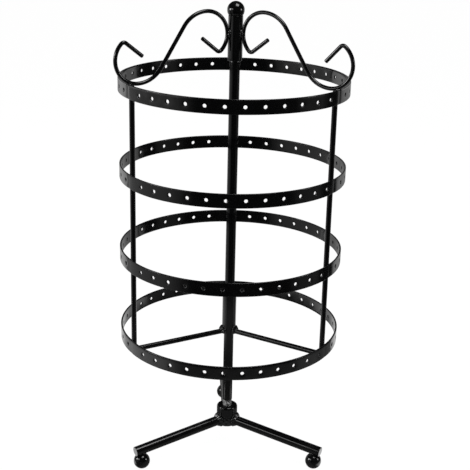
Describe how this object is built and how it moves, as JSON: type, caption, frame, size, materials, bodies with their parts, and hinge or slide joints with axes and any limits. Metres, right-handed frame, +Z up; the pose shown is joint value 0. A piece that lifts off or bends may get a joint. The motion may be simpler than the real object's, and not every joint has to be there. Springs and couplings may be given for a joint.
{
  "type": "earring display stand",
  "caption": "Black metal earring stand: punched strip hoops on posts form a cage that turns on a shaft, with scroll hooks and a ball finial above and legs with ball feet below.",
  "frame": {"origin": "shaft's axis on the plane that the feet stand on", "axes": "+Z up along the shaft, -Y to the front, with one post at the rear"},
  "size_m": [0.16, 0.1699, 0.3374],
  "materials": {
    "black_enamel": "gloss"
  },
  "bodies": {
    "base": {"base_hub": "black_enamel", "center_shaft": "black_enamel", "leg_welds": "black_enamel", "base_leg_1": "black_enamel", "base_leg_2": "black_enamel", "base_leg_3": "black_enamel", "foot_ball_1": "black_enamel", "foot_ball_2": "black_enamel", "foot_ball_3": "black_enamel"},
    "cage": {"lower_sleeve": "black_enamel", "upper_sleeve": "black_enamel", "finial_ball": "black_enamel", "spoke_welds": "black_enamel", "spoke_1": "black_enamel", "spoke_2": "black_enamel", "spoke_3": "black_enamel", "post_1": "black_enamel", "post_2": "black_enamel", "post_3": "black_enamel", "hoop_1": "black_enamel", "hoop_2": "black_enamel", "hoop_3": "black_enamel", "hoop_4": "black_enamel", "scroll_1": "black_enamel", "scroll_2": "black_enamel", "scroll_3": "black_enamel"}
  },
  "joints": [
    {"name": "cage_spin", "type": "hinge", "parent": "base", "child": "cage", "pos_m": [0, 0, 0.2], "axis": [0, 0, 1], "continuous": true}
  ]
}
